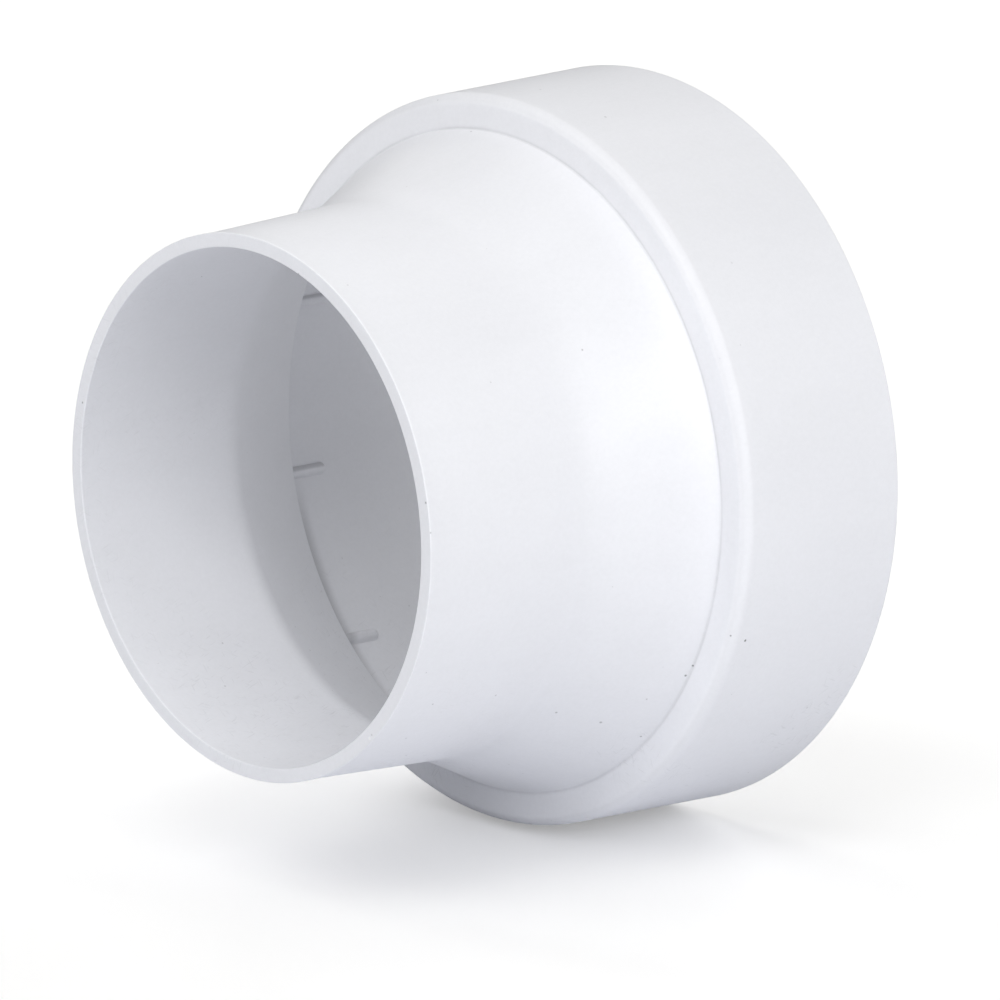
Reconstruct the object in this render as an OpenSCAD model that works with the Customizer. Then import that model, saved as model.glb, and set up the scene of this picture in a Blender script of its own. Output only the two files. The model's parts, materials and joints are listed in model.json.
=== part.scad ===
// Concentric pipe reducer, moulded in one piece from rigid PVC.
// A plain spigot at the small end, a cone, and a wide socket at the large end.
//
// Frame: the flow axis is X, +Z is up, and the origin is the centre of the
// large socket's mouth. The small end points to -X. The part lies on its side.
// Every length is in millimetres.
//
// The modules are zones of the one moulding, cut where its own surfaces change
// direction, so that each can be resized or finished on its own. Neighbouring
// zones of the wall share a face exactly.

/* [Overall] */
// Length from rim to rim
total_len = 79; // [76:0.5:84]

/* [Spigot, small end] */
// Outside diameter at the rim
spigot_od = 82.55; // [81:0.05:84]
// Wall thickness at the rim
spigot_wall = 2.2; // [1.8:0.1:2.6]
// Length of the true cylinder behind the rim
spigot_land = 3; // [3:0.5:8]
// Growth of the outer radius per millimetre, behind the land
spigot_taper = 0.0525; // [0.03:0.0025:0.06]
// Growth of the bore radius per millimetre
bore_taper = 0.0415; // [0.03:0.0005:0.05]
// Length of the straight run before the cone's fillet
spigot_len = 27; // [25:0.5:27]

/* [Cone] */
// Half angle of the cone, in degrees
cone_angle = 26; // [25:0.5:28]
// Distance from the small rim to the crease at the cone's foot
crease_at = 48.5; // [48:0.1:49]
// Outside diameter at the crease
crease_d = 102; // [101:0.2:103]
// Wall thickness of the cone
cone_wall = 2.1; // [1.8:0.1:2.4]
// Radius of the outer fillet between spigot and cone
outer_fillet = 18; // [8:1:18]
// Radius of the inner fillet between bore and cone
inner_fillet = 9; // [8:1:16]

/* [Socket, large end] */
// Outside diameter at the shoulder's face, before its edge is rounded
hub_od_shoulder = 112.7; // [112.1:0.2:113.7]
// Outside diameter at the mouth
hub_od_mouth = 114.6; // [114:0.2:115.6]
// Radius of the rounded shoulder edge
shoulder_round = 1.8; // [1.2:0.1:2.4]
// Distance from the shoulder's face to the pipe stop behind it
stop_wall = 1.9; // [1.6:0.1:2.2]
// Inside diameter of the seat that the large pipe slides into
seat_d = 107.8; // [107.2:0.1:108.4]
// Length of the seat, a true cylinder ending at the mouth
seat_len = 17.5; // [12:0.5:18]
// Inside diameter at the foot of the socket, by the pipe stop
foot_d = 107.4; // [107:0.1:107.6]

/* [Grip ribs] */
// Number of ribs round the socket's foot
rib_count = 12; // [6:1:18]
// Angle of the first rib, from +Y towards +Z, in degrees
rib_start = 18; // [0:1:59]
// Radius of a rib's half-round section
rib_r = 0.9; // [0.5:0.05:1]
// Length of a rib from the pipe stop to its rounded end
rib_len = 9.6; // [6:0.2:10.8]

/* [Hidden] */
$fn = 180;
rib_facets = 32;
bend_steps = 10;

pvc_white = "#EEEFF5";
pvc_shade = "#E6E7EF";

// Radii are measured from the flow axis.
spigot_r = spigot_od / 2;
bore_r = spigot_r - spigot_wall;
crease_r = crease_d / 2;
hub_shoulder_r = hub_od_shoulder / 2;
hub_mouth_r = hub_od_mouth / 2;
seat_r = seat_d / 2;
foot_r = foot_d / 2;

// Stations are measured from the small rim, along the flow.
shoulder_len = 2.8;
shoulder_end = crease_at + shoulder_len;
stop_at = crease_at + stop_wall;
seat_at = total_len - seat_len;

// Margins of the cutter that trims the ribs, past the stop and into the wall.
trim_end = 1;
trim_depth = 3;

// Slopes are growth of radius per millimetre. Leans are degrees from the axis.
cone_slope = tan(cone_angle);
hub_slope = (hub_mouth_r - hub_shoulder_r) / (total_len - crease_at);
hub_lean = atan(hub_slope);

function spigot_outer(station) = spigot_r + spigot_taper * (station - spigot_land);
function bore(station) = bore_r + bore_taper * station;
function hub_outer(station) = hub_shoulder_r + hub_slope * (station - crease_at);

// Station where a line parallel to the cone, through the point on_cone, meets
// a line that has radius start_r at station 0 and grows by taper.
function meeting_station(on_cone, start_r, taper) =
    (on_cone[0] - cone_slope * on_cone[1] - start_r) / (taper - cone_slope);

// Every section point is [radius, station].
crease = [crease_r, crease_at];

// Where the spigot's outer line meets the cone's outer line.
knee_at = meeting_station(crease, spigot_outer(0), spigot_taper);
knee = [spigot_outer(knee_at), knee_at];

// The cone's inner line runs parallel to its outer line, one wall inside it.
// It runs from the throat, on the bore's line, to the lip at the pipe stop.
inner_crease = [crease_r - cone_wall * cos(cone_angle),
                crease_at + cone_wall * sin(cone_angle)];
throat_at = meeting_station(inner_crease, bore(0), bore_taper);
throat = [bore(throat_at), throat_at];
lip = [inner_crease[0] + cone_slope * (stop_at - inner_crease[1]), stop_at];

// Points along the arc that rounds the bend between two lines meeting at
// corner. Their leans are lean_in and lean_out, and the arc bulges towards
// the axis.
function bend(corner, lean_in, lean_out, radius) =
    let (setback = radius * tan((lean_out - lean_in) / 2),
         start = corner - setback * [sin(lean_in), cos(lean_in)],
         centre = start + radius * [cos(lean_in), -sin(lean_in)])
    [for (i = [0 : bend_steps])
        let (lean = lean_in + (lean_out - lean_in) * i / bend_steps)
        centre + radius * [-cos(lean), sin(lean)]];

// Points along the round between the shoulder's face and the hub's wall.
function shoulder_edge() =
    let (inset = shoulder_round * (1 - sin(hub_lean)) / cos(hub_lean),
         centre = [hub_shoulder_r - inset, crease_at + shoulder_round])
    [for (i = [0 : bend_steps])
        let (turn = (90 - hub_lean) * i / bend_steps)
        centre + shoulder_round * [sin(turn), -cos(turn)]];

// The same list of points in the opposite order.
function reversed(points) = [for (i = [len(points) - 1 : -1 : 0]) points[i]];

// Turns a section about the flow axis, with the small rim at -total_len.
module turned() {
    translate([-total_len, 0, 0]) rotate([0, 90, 0]) rotate_extrude() children();
}

// The plain tube that goes into, or is joined by, the smaller pipe.
module spigot_tube() {
    color(pvc_white)
    turned() polygon([
        [bore(0), 0],
        [spigot_r, 0],
        [spigot_r, spigot_land],
        [spigot_outer(spigot_len), spigot_len],
        [bore(spigot_len), spigot_len]
    ]);
}

// The cone between the two diameters, with a fillet outside and a rounded
// throat inside.
module reducing_cone() {
    color(pvc_white)
    turned() polygon(concat(
        [[spigot_outer(spigot_len), spigot_len]],
        bend(knee, atan(spigot_taper), cone_angle, outer_fillet),
        [crease, lip],
        reversed(bend(throat, atan(bore_taper), cone_angle, inner_fillet)),
        [[bore(spigot_len), spigot_len]]
    ));
}

// The annular shoulder. Its inner side is the stop that the large pipe meets.
module socket_shoulder() {
    color(pvc_shade)
    turned() polygon(concat(
        [crease],
        shoulder_edge(),
        [[hub_outer(shoulder_end), shoulder_end],
         [foot_r, shoulder_end],
         [foot_r, stop_at],
         lip]
    ));
}

// The socket's wall, from the shoulder to the mouth.
module socket_wall() {
    color(pvc_white)
    turned() polygon([
        [foot_r, shoulder_end],
        [hub_outer(shoulder_end), shoulder_end],
        [hub_mouth_r, total_len],
        [seat_r, total_len],
        [seat_r, seat_at]
    ]);
}

// Half-round ribs at the foot of the socket, which grip the end of the pipe.
module grip_ribs() {
    color(pvc_shade)
    for (i = [0 : rib_count - 1])
        translate([-total_len, 0, 0]) rotate([rib_start + 360 * i / rib_count, 0, 0])
            one_rib();
}

// One rib on the +Y side, with X as the station. The half that would lie in
// the socket's wall is cut off along the wall's inner surface.
module one_rib() {
    straight_len = rib_len - rib_r;
    difference() {
        translate([stop_at, foot_r, 0]) {
            rotate([0, 90, 0]) cylinder(r = rib_r, h = straight_len, $fn = rib_facets);
            translate([straight_len, 0, 0]) sphere(r = rib_r, $fn = rib_facets);
        }
        rotate([0, 90, 0]) rotate_extrude() polygon([
            [foot_r, stop_at - trim_end],
            [foot_r, shoulder_end],
            [seat_r, seat_at],
            [seat_r, total_len],
            [seat_r + trim_depth, total_len],
            [seat_r + trim_depth, stop_at - trim_end]
        ]);
    }
}

spigot_tube();
reducing_cone();
socket_shoulder();
socket_wall();
grip_ribs();
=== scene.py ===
"""Studio picture of a moulded PVC pipe reducer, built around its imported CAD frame.

Row frame, in metres: the flow axis is X, the origin is the centre of the large
socket's mouth, the spigot points to -X and +Z is up. Sections are written in
millimetres as (station from the small rim, radius).
"""

import json
import math

import bpy
import numpy as np
from mathutils import Matrix, Vector


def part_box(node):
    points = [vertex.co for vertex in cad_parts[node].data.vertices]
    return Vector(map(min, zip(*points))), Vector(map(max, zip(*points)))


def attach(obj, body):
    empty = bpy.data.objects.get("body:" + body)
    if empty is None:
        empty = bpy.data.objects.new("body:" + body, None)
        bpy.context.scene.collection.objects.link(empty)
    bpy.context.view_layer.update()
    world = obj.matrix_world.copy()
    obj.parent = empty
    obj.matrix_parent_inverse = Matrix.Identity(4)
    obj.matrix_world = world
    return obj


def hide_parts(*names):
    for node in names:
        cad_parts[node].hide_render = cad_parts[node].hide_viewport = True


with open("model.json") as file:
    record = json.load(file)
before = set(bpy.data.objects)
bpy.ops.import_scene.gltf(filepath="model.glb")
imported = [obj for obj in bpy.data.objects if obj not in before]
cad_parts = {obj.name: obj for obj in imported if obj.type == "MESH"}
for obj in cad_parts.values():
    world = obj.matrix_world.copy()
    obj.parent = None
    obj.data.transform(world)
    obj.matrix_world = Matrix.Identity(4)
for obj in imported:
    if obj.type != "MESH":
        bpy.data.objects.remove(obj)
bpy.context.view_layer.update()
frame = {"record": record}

MM = 0.001
scene = bpy.context.scene


# ---------------------------------------------------------------- dimensions
# Sizes in mm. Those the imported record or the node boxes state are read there.
mounts = {mount["name"]: mount for mount in frame["record"]["mounts"]}
spigot_dims = mounts["small_spigot"]["dims"]
socket_dims = mounts["large_socket"]["dims"]
spigot_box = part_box("spigot_tube")
cone_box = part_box("reducing_cone")
shoulder_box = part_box("socket_shoulder")
wall_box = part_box("socket_wall")

LENGTH = -spigot_box[0].x / MM
SPIGOT_R = spigot_dims["r_mm"]
SPIGOT_LAND = spigot_dims["length_mm"]  # the spigot's parallel part
SPIGOT_END = spigot_box[1].x / MM + LENGTH
TUBE_TAPER = (spigot_box[1].z / MM - SPIGOT_R) / (SPIGOT_END - SPIGOT_LAND)
SPIGOT_WALL = 2.2
BORE_R = SPIGOT_R - SPIGOT_WALL
BORE_TAPER = 0.0415  # radius gain per mm
CONE_ANGLE = math.radians(26.0)
CONE_TAN = math.tan(CONE_ANGLE)
CONE_WALL = 2.1
CREASE_R = cone_box[1].z / MM  # the crease is where cone and shoulder meet outside
CREASE_AT = shoulder_box[0].x / MM + LENGTH
HUB_R = shoulder_box[1].z / MM
ROUND_END = shoulder_box[1].x / MM + LENGTH
MOUTH_R = wall_box[1].z / MM
SEAT_R = socket_dims["r_mm"]
SEAT_AT = LENGTH - socket_dims["length_mm"]
STOP_AT = CREASE_AT + 1.9  # the pipe stop's face
FOOT_R = 53.7  # the socket's inner wall at the stop

MAX_RUN = 3.0  # longest straight run between two rings
SEGMENTS = 384  # round the axis

RIB_COUNT = 12
RIB_START = 18.0  # degrees from +Y towards +Z
RIB_R = 0.9
RIB_LEN = 9.6
RIB_ROOT = RIB_R + 0.22  # half the width over the soft root
RIB_POINTS = 25  # across one rib
RIB_RUNS = 12  # along its straight part
SKIRT = 0.10  # height of the soft root
WALL_BITE = 0.06  # how far the edges of the root sink into the wall
BACK_BITE = 0.4  # how far the rib's back sinks into the wall
STOP_BITE = 0.25  # how far the rib sinks into the stop


def row_x(station):
    """A station in mm as a place on X in metres."""
    return (station - LENGTH) * MM


def meet(first, first_slope, second, second_slope):
    """Where two section lines cross; each is a point and a radius gain per mm."""
    station = (
        second[1] - second_slope * second[0] - first[1] + first_slope * first[0]
    ) / (first_slope - second_slope)
    return station, first[1] + first_slope * (station - first[0])


# ------------------------------------------------------------------- section
crease = (CREASE_AT, CREASE_R)
inner_crease = (
    CREASE_AT + CONE_WALL * math.sin(CONE_ANGLE),
    CREASE_R - CONE_WALL * math.cos(CONE_ANGLE),
)
knee = meet((SPIGOT_LAND, SPIGOT_R), TUBE_TAPER, crease, CONE_TAN)
throat = meet((0.0, BORE_R), BORE_TAPER, inner_crease, CONE_TAN)
lip = (STOP_AT, inner_crease[1] + CONE_TAN * (STOP_AT - inner_crease[0]))
hub_slope = (MOUTH_R - HUB_R) / (LENGTH - ROUND_END)
hub_corner = (CREASE_AT, HUB_R - hub_slope * (ROUND_END - CREASE_AT))

# Corners of the whole section, clockwise with the axis below: station, radius,
# rounding radius and the number of steps in the rounding.
CORNERS = [
    (0.0, SPIGOT_R, 0.16, 6),
    (SPIGOT_LAND, SPIGOT_R, 36.0, 5),
    (*knee, 18.0, 26),
    (*crease, 0.18, 6),
    (*hub_corner, 1.8, 16),
    (LENGTH, MOUTH_R, 0.2, 6),
    (LENGTH, SEAT_R, 0.3, 6),
    (SEAT_AT, SEAT_R, 60.0, 4),
    (STOP_AT, FOOT_R, 0.35, 6),
    (*lip, 0.22, 6),
    (*throat, 9.0, 24),
    (0.0, BORE_R, 0.16, 6),
]


def round_corner(before, corner, after):
    """The rounding of one corner as (point, normal) pairs."""
    point = np.array(corner[:2])
    arriving = point - np.array(before[:2])
    arriving = arriving / np.linalg.norm(arriving)
    leaving = np.array(after[:2]) - point
    leaving = leaving / np.linalg.norm(leaving)
    cross = arriving[0] * leaving[1] - arriving[1] * leaving[0]
    turn = math.atan2(cross, float(arriving @ leaving))
    radius, steps = corner[2:]
    hand = math.copysign(1.0, turn)
    start = point - arriving * radius * math.tan(abs(turn) / 2)
    centre = start + hand * radius * np.array([-arriving[1], arriving[0]])
    arc = []
    for k in range(steps + 1):
        cos, sin = math.cos(turn * k / steps), math.sin(turn * k / steps)
        heading_x = arriving[0] * cos - arriving[1] * sin
        heading_r = arriving[0] * sin + arriving[1] * cos
        normal = np.array([-heading_r, heading_x])
        arc.append((centre - hand * radius * normal, normal))
    return arc


def rounded_section(corners):
    """The closed section as (point, normal) pairs."""
    count = len(corners)
    arcs = [
        round_corner(corners[i - 1], corners[i], corners[(i + 1) % count])
        for i in range(count)
    ]
    points = []
    for i in range(count):
        points += arcs[i]
        start, normal = arcs[i][-1]
        end = arcs[(i + 1) % count][0][0]
        runs = max(1, int(math.ceil(np.linalg.norm(end - start) / MAX_RUN)))
        for k in range(1, runs):
            points.append((start + (end - start) * k / runs, normal))
    return points


def cut_path(path, test):
    """Splits a path where test changes sign, with one new point at the cut."""
    for i in range(len(path) - 1):
        (start, start_normal), (end, end_normal) = path[i], path[i + 1]
        a, b = test(start), test(end)
        if a <= 0 < b or b <= 0 < a:
            share = a / (a - b)
            normal = start_normal + (end_normal - start_normal) * share
            cut = (start + (end - start) * share, normal / np.linalg.norm(normal))
            return path[: i + 1] + [cut], [cut] + path[i + 1 :]
    raise RuntimeError("a zone cut misses the section")


def cut_near(path, test, near, span):
    """cut_path, but only where the path passes within span of a point."""
    near = np.array(near)
    close = [k for k in range(len(path)) if np.linalg.norm(path[k][0] - near) < span]
    first, last = max(0, close[0] - 1), min(len(path) - 1, close[-1] + 1)
    head, tail = cut_path(path[first : last + 1], test)
    return path[:first] + head, tail + path[last + 1 :]


def past(station):
    return lambda point: point[0] - station


crease_dir = np.array([lip[0] - CREASE_AT, lip[1] - CREASE_R])
crease_dir /= np.linalg.norm(crease_dir)


def past_crease(point):
    """The cone and the shoulder meet on the line from the crease to the lip."""
    offset = point - np.array(crease)
    return crease_dir[0] * offset[1] - crease_dir[1] * offset[0]


section = rounded_section(CORNERS)


def middle_of_end(on_end, radius):
    """Index of the section point on an end face that is nearest to a radius."""
    def rank(i):
        point = section[i][0]
        return on_end(point[0]), -abs(point[1] - radius)
    return max(range(len(section)), key=rank)


mouth_i = middle_of_end(lambda station: station > LENGTH - 1e-6, (MOUTH_R + SEAT_R) / 2)
rim_i = middle_of_end(lambda station: station < 1e-6, (SPIGOT_R + BORE_R) / 2)
turned = section[rim_i:] + section[:rim_i]
split = (mouth_i - rim_i) % len(section)
outer = turned[: split + 1]
inner = (turned[split:] + turned[:1])[::-1]  # both run from the small rim to the mouth

spigot_outer, rest_outer = cut_path(outer, past(SPIGOT_END))
spigot_inner, rest_inner = cut_path(inner, past(SPIGOT_END))
cone_outer, rest_outer = cut_near(rest_outer, past_crease, crease, 1.2)
cone_inner, rest_inner = cut_near(rest_inner, past_crease, lip, 1.2)
shoulder_outer, wall_outer = cut_path(rest_outer, past(ROUND_END))
shoulder_inner, wall_inner = cut_near(rest_inner, past(ROUND_END), (ROUND_END, FOOT_R), 2.5)


# -------------------------------------------------------------------- meshes
def add_object(name, verts, faces, normals=None):
    mesh = bpy.data.meshes.new(name)
    mesh.from_pydata(verts, [], faces)
    mesh.polygons.foreach_set("use_smooth", [True] * len(faces))
    mesh.update()
    if normals:
        mesh.normals_split_custom_set(normals)
    obj = bpy.data.objects.new(name, mesh)
    scene.collection.objects.link(obj)
    return obj


def zone_loop(outer_path, inner_path):
    """A zone's closed loop: outer path, end cap, inner path, start cap. Each
    entry is a point with the normals of its incoming and outgoing segments."""
    loop = [[point, normal, normal] for point, normal in outer_path + inner_path[::-1]]
    ends = len(outer_path)
    for a, b in ((ends - 1, ends), (len(loop) - 1, 0)):
        across = loop[b][0] - loop[a][0]
        if np.linalg.norm(across) < 1e-6:
            continue
        across /= np.linalg.norm(across)
        cap = np.array([-across[1], across[0]])
        loop[a][2] = cap
        loop[b][1] = cap
    # A point the two paths share, at the rim or the mouth, is kept once.
    clean = []
    for entry in loop:
        if clean and np.linalg.norm(entry[0] - clean[-1][0]) < 1e-6:
            clean[-1][2] = entry[2]
        else:
            clean.append(entry)
    if np.linalg.norm(clean[0][0] - clean[-1][0]) < 1e-6:
        clean[0][1] = clean[-1][1]
        clean.pop()
    return clean


def revolve(name, loop):
    """A closed mesh from a closed section loop, turned round the X axis."""
    count = len(loop)
    angles = np.arange(SEGMENTS) * 2 * math.pi / SEGMENTS
    cos, sin = np.cos(angles), np.sin(angles)
    points = np.array([entry[0] for entry in loop])
    verts = np.zeros((count, SEGMENTS, 3))
    verts[:, :, 0] = (points[:, 0] - LENGTH)[:, None]
    verts[:, :, 1] = points[:, 1][:, None] * cos
    verts[:, :, 2] = points[:, 1][:, None] * sin
    verts *= MM
    faces, normals = [], []
    for i in range(count):
        k = (i + 1) % count
        here, there = loop[i][2], loop[k][1]
        ring, next_ring = i * SEGMENTS, k * SEGMENTS
        for j in range(SEGMENTS):
            m = (j + 1) % SEGMENTS
            faces.append((ring + j, ring + m, next_ring + m, next_ring + j))
            for normal, at in ((here, j), (here, m), (there, m), (there, j)):
                normals.append((normal[0], normal[1] * cos[at], normal[1] * sin[at]))
    return add_object(name, verts.reshape(-1, 3).tolist(), faces, normals)


def wall_radius(station):
    """The socket's inner wall, which widens from the stop to the seat."""
    share = (station - STOP_AT) / (SEAT_AT - STOP_AT)
    return FOOT_R + (SEAT_R - FOOT_R) * min(1.0, max(0.0, share))


def rib_ring(along, shrink):
    """One closed ring of a rib as (distance across, radius)."""
    wall = wall_radius(STOP_AT + along)
    core = RIB_R * shrink

    def place(k):
        share = -1.0 + 2.0 * k / (RIB_POINTS - 1)
        return share * RIB_ROOT * (0.35 + 0.65 * shrink)

    ring = []
    for k in range(RIB_POINTS):
        across = place(k)
        crown = math.sqrt(max(0.0, core * core - across * across))
        skirt = SKIRT * shrink * (1.0 - (across / RIB_ROOT) ** 2)
        radius = min(FOOT_R - max(crown, skirt), wall + WALL_BITE)
        if k in (0, RIB_POINTS - 1):
            radius = wall + WALL_BITE
        ring.append((across, radius))
    for k in range(RIB_POINTS - 1, -1, -4):
        ring.append((place(k) * 0.98, wall + BACK_BITE))
    return ring


def make_ribs(name):
    """Half-round ribs with a soft root and a rounded end, sunk a little into
    the wall and the stop."""
    straight = RIB_LEN - RIB_R
    stations = [-STOP_BITE, 0.0]
    stations += [straight * k / RIB_RUNS for k in range(1, RIB_RUNS + 1)]
    stations += [straight + RIB_R * math.sin(math.radians(a)) for a in range(10, 90, 10)]
    rings = []
    for along in stations:
        shrink = 1.0
        if along > straight:
            shrink = math.sqrt(1.0 - ((along - straight) / RIB_R) ** 2)
        rings.append(rib_ring(along, shrink))
    count = len(rings[0])
    verts, faces = [], []
    for rib in range(RIB_COUNT):
        base = len(verts)
        rib_angle = math.radians(RIB_START + 360.0 * rib / RIB_COUNT)
        for along, ring in zip(stations, rings):
            x = row_x(STOP_AT + along)
            for across, radius in ring:
                angle = rib_angle + across / FOOT_R
                y, z = radius * math.cos(angle) * MM, radius * math.sin(angle) * MM
                verts.append((x, y, z))
        for i in range(len(rings) - 1):
            ring, next_ring = base + i * count, base + (i + 1) * count
            for k in range(count):
                m = (k + 1) % count
                faces.append((ring + k, next_ring + k, next_ring + m, ring + m))
        faces.append(tuple(base + k for k in range(count)))
        last = base + (len(rings) - 1) * count
        faces.append(tuple(last + k for k in range(count - 1, -1, -1)))
    return add_object(name, verts, faces)


PIECES = {}


def fit_piece(node, obj):
    """Puts a mesh in the place of its CAD node."""
    PIECES[node] = obj
    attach(obj, "root")
    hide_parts(node)


for node, outer_path, inner_path in (
    ("spigot_tube", spigot_outer, spigot_inner),
    ("reducing_cone", cone_outer, cone_inner),
    ("socket_shoulder", shoulder_outer, shoulder_inner),
    ("socket_wall", wall_outer, wall_inner),
):
    fit_piece(node, revolve(node + "_moulded", zone_loop(outer_path, inner_path)))
fit_piece("grip_ribs", make_ribs("grip_ribs_moulded"))


# ----------------------------------------------------------------- materials
class Nodes:
    """Small helper that empties a node tree and builds it anew."""

    def __init__(self, tree):
        self.tree = tree
        tree.nodes.clear()

    def add(self, kind, inputs=None, **settings):
        node = self.tree.nodes.new(kind)
        for key, value in settings.items():
            setattr(node, key, value)
        for key, value in (inputs or {}).items():
            self.put(node, key, value)
        return node

    def put(self, node, key, value):
        socket = node.inputs[key]
        if isinstance(value, bpy.types.NodeSocket):
            self.tree.links.new(value, socket)
        else:
            socket.default_value = value

    def math(self, operation, a, b=0.0, clamp=False):
        inputs = {0: a, 1: b}
        return self.add("ShaderNodeMath", inputs, operation=operation, use_clamp=clamp).outputs[0]

    def plus(self, a, b, clamp=False):
        return self.math("ADD", a, b, clamp)

    def minus(self, a, b):
        return self.math("SUBTRACT", a, b)

    def times(self, a, b):
        return self.math("MULTIPLY", a, b)

    def length(self, a, b):
        return self.math("SQRT", self.plus(self.times(a, a), self.times(b, b)))

    def split(self, vector):
        return self.add("ShaderNodeSeparateXYZ", {0: vector}).outputs

    def mapping(self, vector, **inputs):
        return self.add("ShaderNodeMapping", {"Vector": vector, **inputs}).outputs[0]

    def noise(self, vector, scale, detail, rough=0.5, distortion=0.0, dimensions="3D"):
        inputs = {"Vector": vector, "Scale": scale, "Detail": detail,
                  "Roughness": rough, "Distortion": distortion}
        node = self.add("ShaderNodeTexNoise", inputs, noise_dimensions=dimensions)
        return node.outputs["Fac"]

    def fade(self, value, over, to=(0.0, 1.0), kind="SMOOTHSTEP"):
        """Maps one range to another with soft ends, and holds it there."""
        inputs = {"Value": value, "From Min": over[0], "From Max": over[1],
                  "To Min": to[0], "To Max": to[1]}
        node = self.add("ShaderNodeMapRange", inputs, clamp=True, interpolation_type=kind)
        return node.outputs["Result"]

    def ramp(self, value, over, to):
        """The same in a straight line."""
        return self.fade(value, over, to, kind="LINEAR")

    def bump(self, height, distance, normal=None):
        inputs = {"Height": height, "Distance": distance, "Strength": 1.0}
        if normal is not None:
            inputs["Normal"] = normal
        return self.add("ShaderNodeBump", inputs).outputs["Normal"]

    def tinted(self, colour, factor):
        inputs = {0: colour, "Scale": factor}
        return self.add("ShaderNodeVectorMath", inputs, operation="SCALE").outputs[0]


def new_material(name):
    """A material, its node helper, its output and its Principled shader."""
    mat = bpy.data.materials.new(name)
    mat.use_nodes = True
    n = Nodes(mat.node_tree)
    return mat, n, n.add("ShaderNodeOutputMaterial"), n.add("ShaderNodeBsdfPrincipled")


ALBEDO = (0.860, 0.866, 0.896)
PVC_IOR = 1.53
SATIN_ROUGH, GRAIN_ROUGH = 0.48, 0.56

# Marks of handling, each as a place in millimetres in the row frame, a radius
# in millimetres and how much light it takes away (or adds, if negative).
BLEMISHES = [
    ((-79.0, -27.6, -29.8), 0.34, -0.10),  # nick in the small rim
    ((-79.0, -28.1, -29.2), 0.20, 0.22),
    ((-79.0, -40.2, 7.7), 0.22, 0.40),
    ((-78.9, -41.2, 3.4), 0.20, 0.32),
    ((-79.0, 38.5, 10.0), 0.20, 0.45),
    ((-27.5, -53.2, -18.8), 0.24, 0.75),
    ((-30.1, -52.8, -17.7), 0.17, 0.55),
    ((-30.6, -45.2, -23.6), 0.20, 0.60),
    ((-31.0, -44.1, -25.3), 0.24, 0.65),
    ((-59.5, -33.6, -25.5), 0.20, 0.30),
    ((-45.2, -31.1, -31.0), 0.24, 0.35),
    ((-38.4, -33.5, -33.2), 0.26, 0.38),
    ((-31.7, -35.1, -36.2), 0.22, 0.40),
]

# Scratch directions: angle in degrees, noise scale along and across the
# strokes, and the noise range over which a stroke appears.
SCRATCHES = [
    (24.0, 260.0, 3200.0, (0.70, 0.78)),
    (-41.0, 330.0, 3600.0, (0.70, 0.78)),
    (82.0, 240.0, 3000.0, (0.72, 0.80)),
]


class Place:
    """Object coordinates, the radius, and the surface unrolled: along the axis,
    and round it at a radius of 50 mm, with the seam underneath."""

    def __init__(self, n):
        self.co = n.add("ShaderNodeTexCoord").outputs["Object"]
        self.x, y, self.z = n.split(self.co)
        self.radius = n.length(y, self.z)
        along = n.plus(self.x, n.times(self.radius, 0.8))
        around = n.times(n.math("ARCTAN2", y, self.z), 0.05)
        self.sheet = n.add("ShaderNodeCombineXYZ", {0: along, 1: around}).outputs[0]


def pigment_tone(n, at):
    """A little cloudiness, as pigment never mixes perfectly, flow lines that
    run lengthwise from the gate, and a fine mottle."""
    cloud = n.noise(at.co, scale=42.0, detail=4.0, rough=0.6)
    lengthwise = n.mapping(at.co, Scale=(26.0, 150.0, 150.0))
    flow = n.noise(lengthwise, scale=1.0, detail=3.0, rough=0.6, distortion=0.5)
    mottle = n.noise(at.co, scale=1500.0, detail=2.0, rough=0.7)
    tone = n.plus(
        n.ramp(cloud, over=(0.25, 0.75), to=(-0.011, 0.011)),
        n.ramp(flow, over=(0.25, 0.75), to=(-0.008, 0.008)),
    )
    return n.plus(tone, n.ramp(mottle, over=(0.25, 0.75), to=(-0.016, 0.016)))


def dark_specks(n, at, low):
    """Tiny specks of burnt material and dust, thicker in patches and low down."""
    cells = n.add("ShaderNodeTexVoronoi", {"Vector": at.sheet, "Scale": 210.0},
                  feature="F1", voronoi_dimensions="2D")
    pick = n.split(cells.outputs["Color"])
    size = n.ramp(pick[1], over=(0.0, 1.0), to=(0.016, 0.044))
    near = n.fade(n.minus(size, cells.outputs["Distance"]), over=(-0.006, 0.010))
    patches = n.noise(at.co, scale=34.0, detail=1.0)
    patches = n.ramp(patches, over=(0.42, 0.62), to=(0.985, 0.93))
    dusty = n.minus(patches, n.times(low, 0.10))
    chosen = n.math("GREATER_THAN", pick[0], dusty)
    depth = n.ramp(pick[2], over=(0.0, 1.0), to=(0.08, 0.34))
    return n.times(n.times(near, chosen), depth)


def scratch(n, at, angle, along, across, over):
    """Short fine strokes in one direction."""
    shifted = n.mapping(at.sheet, Location=(angle * 3.7, -angle * 1.9, 0.0),
                        Rotation=(0.0, 0.0, math.radians(angle)))
    stretched = n.mapping(shifted, Scale=(along, across, 1.0))
    return n.fade(n.noise(stretched, scale=1.0, detail=1.0, dimensions="2D"), over)


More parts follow.
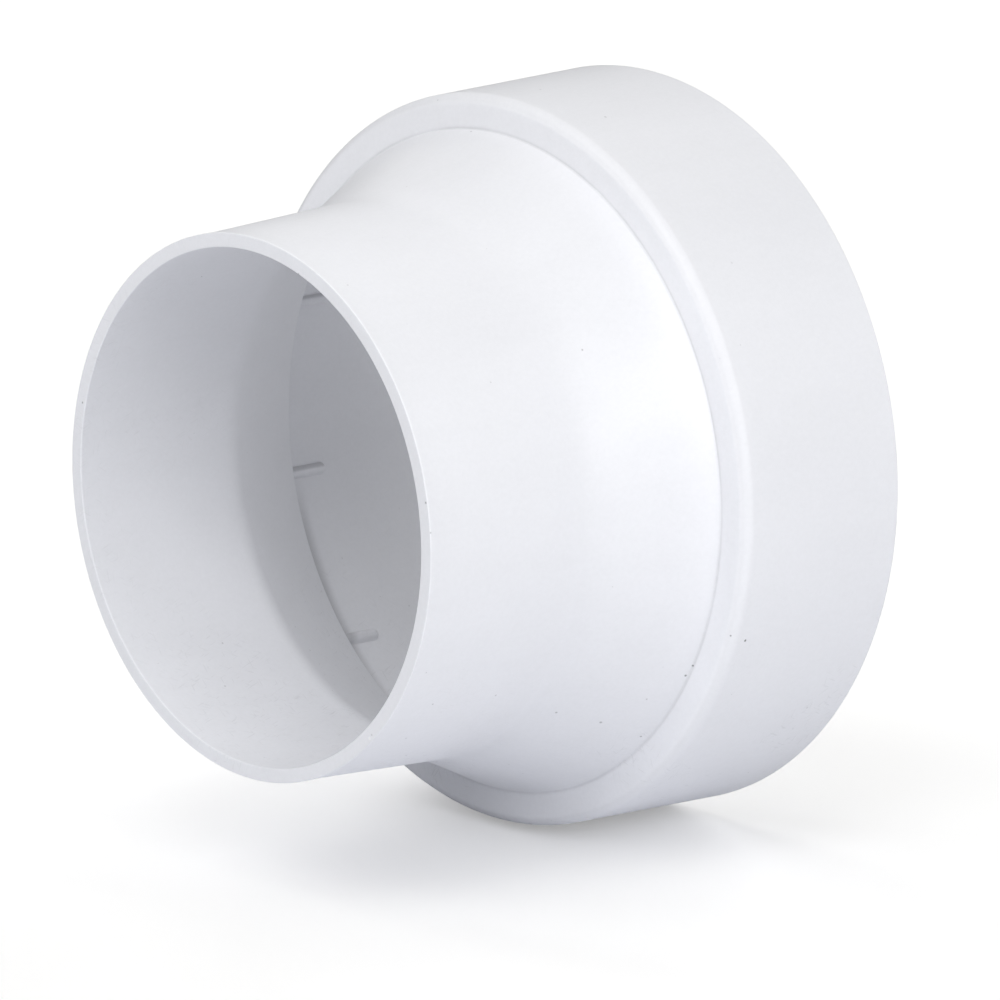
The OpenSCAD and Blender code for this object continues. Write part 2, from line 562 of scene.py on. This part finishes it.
def handling_wear(n, at, low):
    """Scratches and rubbed patches. Most of them are underneath, where it
    slides on the bench, and in the bore."""
    within = n.math("LESS_THAN", at.radius, (SPIGOT_R - 0.5) * MM)
    worn = n.math("MAXIMUM", n.math("MAXIMUM", low, n.times(within, 0.55)), 0.12)
    patches = n.times(n.fade(n.noise(at.co, scale=36.0, detail=2.0), over=(0.46, 0.60)), worn)
    first, second, third = [scratch(n, at, *row) for row in SCRATCHES]
    strokes = n.plus(n.plus(first, second, clamp=True), third, clamp=True)
    scuffs = n.times(strokes, patches)
    rubbed = n.noise(at.co, scale=120.0, detail=3.0, rough=0.7)
    return scuffs, n.times(n.fade(rubbed, over=(0.55, 0.75)), patches)


def painted_crease_shade(n, at):
    """Painted shade in the corner at the cone's foot: a darker line along the crease, broken up a
    little.
    """
    away = n.length(n.minus(at.x, row_x(CREASE_AT)), n.minus(at.radius, CREASE_R * MM))
    near = n.fade(away, over=(0.00008, 0.00042), to=(1.0, 0.0))
    uneven = n.noise(at.co, scale=90.0, detail=2.0)
    return n.times(near, n.fade(uneven, over=(0.3, 0.6), to=(0.35, 1.0)))


def socket_dust_and_shade(n, at):
    """Dust and painted shade in the corner at the pipe stop, mostly low down, and dust and
    painted shade on the upper flank of each rib."""
    # Painted shade, with some dust, in the corner behind the pipe stop.
    behind = n.fade(at.x, over=(row_x(STOP_AT + 3.2), row_x(STOP_AT + 5.6)), to=(1.0, 0.0))
    inside = n.times(
        n.math("GREATER_THAN", at.radius, (FOOT_R - 1.2) * MM),
        n.math("LESS_THAN", at.radius, (FOOT_R + 0.4) * MM),
    )
    inside = n.times(inside, n.math("GREATER_THAN", at.x, row_x(STOP_AT - 0.2)))
    low_down = n.fade(at.z, over=(-0.023, -0.010), to=(1.0, 0.0))
    dust_and_shade = n.times(n.times(behind, inside), low_down)
    # Painted shade, with some dust, on the rib flanks that face up.
    facing = n.split(n.add("ShaderNodeNewGeometry").outputs["Normal"])
    on_rib = n.times(inside, n.math("LESS_THAN", at.radius, (FOOT_R - 0.06) * MM))
    rib_top_dust_and_shade = n.times(on_rib, n.fade(facing[2], over=(0.15, 0.70)))
    rib_top_dust_and_shade = n.times(rib_top_dust_and_shade, n.fade(at.z, over=(-0.040, -0.012), to=(0.20, 1.0)))
    return n.plus(dust_and_shade, rib_top_dust_and_shade, clamp=True)


def grain_mask(n, at):
    """The eroded face, which ends at the crease and before the rounded edge."""
    flat = n.times(
        n.fade(at.radius, over=((CREASE_R + 0.1) * MM, (CREASE_R + 0.6) * MM)),
        n.fade(at.radius, over=((HUB_R - 1.6) * MM, (HUB_R - 0.9) * MM), to=(1.0, 0.0)),
    )
    face = n.fade(at.x, over=(row_x(CREASE_AT + 1.0), row_x(CREASE_AT + 1.3)), to=(1.0, 0.0))
    return n.times(flat, face)


def moulded_pvc(name, grain):
    """Opaque white PVC as it leaves the mould. Coordinates are metres in the
    row frame, so the surface runs on unbroken from one piece to the next."""
    mat, n, out, bsdf = new_material(name)
    n.put(out, "Surface", bsdf.outputs["BSDF"])
    at = Place(n)
    tone = pigment_tone(n, at)
    low = n.fade(at.z, over=(-0.034, -0.012), to=(1.0, 0.0))
    specks = dark_specks(n, at, low)
    scuffs, rub = handling_wear(n, at, low)
    crease_shade = painted_crease_shade(n, at)
    dust_and_shade = socket_dust_and_shade(n, at)

    # Dust and painted shade at the pipe stop and on the upper rib flanks darken the colour.
    shade = n.minus(n.plus(tone, 1.0), n.times(dust_and_shade, 0.30))
    # The small rim's end face is painted a little lighter: painted light on this face.
    shade = n.plus(shade, n.fade(at.x, over=(row_x(0.10), row_x(0.30)), to=(0.055, 0.0)))
    shade = n.minus(shade, specks)
    # crease_shade is painted shade that darkens the crease at the cone's foot.
    for mark, loss in ((scuffs, 0.085), (rub, 0.018), (crease_shade, 0.09)):
        shade = n.minus(shade, n.times(mark, loss))
    for place, size, loss in BLEMISHES:
        inputs = {0: at.co, 1: tuple(c * MM for c in place)}
        away = n.add("ShaderNodeVectorMath", inputs, operation="DISTANCE").outputs["Value"]
        mark = n.fade(away, over=(0.45 * size * MM, 1.15 * size * MM), to=(1.0, 0.0))
        shade = n.minus(shade, n.times(mark, loss))
    if grain:
        # The eroded face is painted a little lighter: painted light on this face.
        mask = grain_mask(n, at)
        shade = n.times(shade, n.plus(n.times(mask, 0.065), 1.0))
    n.put(bsdf, "Base Color", n.tinted(ALBEDO, shade))

    # Polished steel tooling leaves a satin gloss that varies a bit.
    base = GRAIN_ROUGH if grain else SATIN_ROUGH
    rough = n.noise(at.co, scale=60.0, detail=4.0, rough=0.6)
    rough = n.ramp(rough, over=(0.3, 0.7), to=(base - 0.06, base + 0.07))
    for mark, gain in ((scuffs, 0.20), (rub, 0.10)):
        rough = n.plus(rough, n.times(mark, gain), clamp=True)

    # Slow shrinkage ripple, a fine skin and the cut of the scratches.
    ripple = n.bump(n.noise(at.co, scale=55.0, detail=1.0), distance=0.00010)
    skin = n.noise(at.co, scale=1500.0, detail=2.0, rough=0.6)
    skin = n.bump(skin, distance=0.000009, normal=ripple)
    normal = n.bump(scuffs, distance=-0.000012, normal=skin)
    if grain:
        pits = n.noise(at.co, scale=1700.0, detail=3.0, rough=0.7)
        coarse = n.noise(at.co, scale=800.0, detail=2.0, rough=0.6)
        height = n.plus(n.times(pits, 0.6), n.times(coarse, 0.6))
        normal = n.bump(n.times(height, mask), distance=0.000055, normal=normal)
        rough = n.plus(rough, n.times(mask, 0.10), clamp=True)
    n.put(bsdf, "Roughness", rough)
    n.put(bsdf, "Normal", normal)
    n.put(bsdf, "IOR", PVC_IOR)
    n.put(bsdf, "Specular IOR Level", 0.5)
    return mat


gloss = moulded_pvc("moulded_pvc_satin", grain=False)
grained = moulded_pvc("moulded_pvc_grained", grain=True)
for node, obj in PIECES.items():
    textured = node in ("socket_shoulder", "grip_ribs")
    obj.data.materials.append(grained if textured else gloss)


# --------------------------------------------------------------------- stage
# Two sheets of paper. The lens sees the upper one, which has its own lights and
# glows a little, as when a product picture is lit apart from its background.
# The lower one is out of the lens's sight and throws light back onto the fitting.
def paper(name, z, tint, glow=0.0):
    bpy.ops.mesh.primitive_plane_add(size=60.0, location=(0, 0, z))
    sheet = bpy.context.active_object
    sheet.name = name
    mat, n, out, bsdf = new_material(name)
    co = n.add("ShaderNodeTexCoord").outputs["Object"]
    fibre = n.noise(co, scale=900.0, detail=3.0, rough=0.6)
    fibre = n.ramp(fibre, over=(0.2, 0.8), to=(0.995, 1.005))
    n.put(bsdf, "Base Color", n.tinted(tint, fibre))
    n.put(bsdf, "Roughness", 0.9)
    n.put(bsdf, "Specular IOR Level", 0.0)
    surface = bsdf.outputs["BSDF"]
    if glow:
        light = n.add("ShaderNodeEmission", {"Strength": glow}).outputs[0]
        surface = n.add("ShaderNodeAddShader", {0: surface, 1: light}).outputs[0]
    n.put(out, "Surface", surface)
    sheet.data.materials.append(mat)
    return sheet


floor_z = -MOUTH_R * MM
floor = paper("studio_floor", floor_z, tint=(0.946, 0.941, 0.930), glow=0.320)
for way in ("diffuse", "glossy", "transmission", "volume_scatter", "shadow"):
    setattr(floor, "visible_" + way, False)
reflector = paper("studio_reflector", floor_z - 0.02 * MM, tint=(0.915, 0.925, 0.965))
reflector.visible_camera = False

# -------------------------------------------------------------------- camera
# Camera components are right, down and ahead.
AXIS_TURN = math.radians(49.400)  # from the line of sight to +X
AXIS_SLOPE = math.radians(-11.163)  # of +X in the picture, downwards positive
RIM_AT = np.array([-0.9095, 0.0320, 28.727]) * SPIGOT_R * MM  # small rim's centre
SENSOR_MM = 36.0
FOCAL = 8.0  # in sensor widths

axis = np.array([
    math.sin(AXIS_TURN) * math.cos(AXIS_SLOPE),
    math.sin(AXIS_TURN) * math.sin(AXIS_SLOPE),
    math.cos(AXIS_TURN),
])
up = np.array([0.0, -axis[2], axis[1]]) / math.hypot(axis[1], axis[2])  # no roll
to_row = np.array([axis, np.cross(up, axis), up])  # camera to row components
place = np.array([-LENGTH * MM, 0.0, 0.0]) - to_row @ RIM_AT
right, down, ahead = to_row.T
cam_data = bpy.data.cameras.new("studio_camera")
cam_data.sensor_width = SENSOR_MM
cam_data.lens = SENSOR_MM * FOCAL
cam_data.clip_start, cam_data.clip_end = 0.05, 60.0
cam = bpy.data.objects.new("studio_camera", cam_data)
scene.collection.objects.link(cam)
pose = Matrix.Identity(4)
for i in range(3):
    pose[i] = (right[i], -down[i], -ahead[i], place[i])
cam.matrix_world = pose
scene.camera = cam

# -------------------------------------------------------------------- lights
# Name, kind, azimuth and elevation in degrees (azimuth 0 is on the -Y side, 90
# on +X), width and strength. A far light (SUN) has its width in degrees. A near
# one (AREA) is a round soft box with its width in metres and its power; the
# near ones make the small end a little brighter than the hub.
LIGHTS = [
    ("key_left", "AREA", -72.0, 46.0, 0.3, 0.890),
    ("key_far", "SUN", -60.0, 48.0, 30.0, 0.090),
    ("front_low", "AREA", 0.0, 24.0, 0.3, 0.830),
    ("front_left", "AREA", -30.0, 24.0, 0.3, 0.050),
    ("fill_camera", "SUN", -30.0, 28.0, 30.0, 0.640),
    ("fill_left", "SUN", -60.0, 28.0, 30.0, 0.060),
    ("fill_right", "SUN", 60.0, 28.0, 30.0, 0.266),
    ("side_right", "AREA", 108.0, 46.0, 0.3, 0.152),
    ("top_right", "AREA", 120.0, 68.0, 0.3, 0.205),
    ("back_left", "AREA", -144.0, 46.0, 0.3, 0.640),
    ("back_low", "SUN", 150.0, 28.0, 30.0, 0.288),
]
FLOOR_LIGHTS = [
    ("floor_right_low", "SUN", 90.0, 20.0, 60.0, 1.764),
    ("floor_back_low", "SUN", 135.0, 20.0, 60.0, 0.438),
    ("floor_left_low", "SUN", -135.0, 20.0, 60.0, 0.195),
    ("floor_back_high", "SUN", 180.0, 65.0, 60.0, 0.234),
    ("floor_back", "SUN", 180.0, 46.0, 30.0, 0.554),
    ("floor_back_left", "SUN", -120.0, 46.0, 30.0, 0.407),
    ("floor_left", "SUN", -60.0, 46.0, 30.0, 0.323),
    ("floor_left_high", "SUN", -60.0, 68.0, 30.0, 0.292),
    ("floor_front_high", "SUN", 0.0, 68.0, 30.0, 0.288),
]
LIGHT_DISTANCE = {"SUN": 2.0, "AREA": 0.5}  # metres from the middle
MIDDLE = Vector((-0.04, 0.0, 0.0))  # of the fitting


def add_light(group, name, kind, azimuth, elevation, width, power):
    """A light that shines on the objects of one collection only."""
    data = bpy.data.lights.new(name, kind)
    data.energy = power
    if kind == "SUN":
        data.angle = math.radians(width)
    else:
        data.shape = "DISK"
        data.size = width
    a, e = math.radians(azimuth), math.radians(elevation)
    to_light = Vector((math.sin(a) * math.cos(e), -math.cos(a) * math.cos(e), math.sin(e)))
    lamp = bpy.data.objects.new(name, data)
    scene.collection.objects.link(lamp)
    lamp.rotation_mode = "QUATERNION"
    lamp.rotation_quaternion = to_light.to_track_quat("Z", "Y")
    lamp.location = MIDDLE + to_light * LIGHT_DISTANCE[kind]
    lamp.visible_camera = False
    lamp.light_linking.receiver_collection = group


for group_name, members, lights in (
    ("lit_fitting", [*PIECES.values(), reflector], LIGHTS),
    ("lit_floor", [floor], FLOOR_LIGHTS),
):
    group = bpy.data.collections.new(group_name)
    for obj in members:
        group.objects.link(obj)
    for row in lights:
        add_light(group, *row)


# --------------------------------------------------------------------- world
# White to the lens, and no light on anything else.
AMBIENT = 0.0
WHITE = (1, 1, 1, 1)
world = bpy.data.worlds.new("studio_world")
scene.world = world
world.use_nodes = True
n = Nodes(world.node_tree)
world_out = n.add("ShaderNodeOutputWorld")
seen = n.add("ShaderNodeBackground", {"Color": WHITE, "Strength": 1.0})
lit = n.add("ShaderNodeBackground", {"Color": WHITE, "Strength": AMBIENT})
lit.name = "ambient"
to_lens = n.add("ShaderNodeLightPath").outputs["Is Camera Ray"]
mix = n.add("ShaderNodeMixShader", {0: to_lens, 1: lit.outputs[0], 2: seen.outputs[0]})
n.put(world_out, "Surface", mix.outputs[0])

scene.view_settings.view_transform = "Standard"
scene.view_settings.look = "None"
scene.view_settings.exposure = 0.0
scene.view_settings.gamma = 1.0
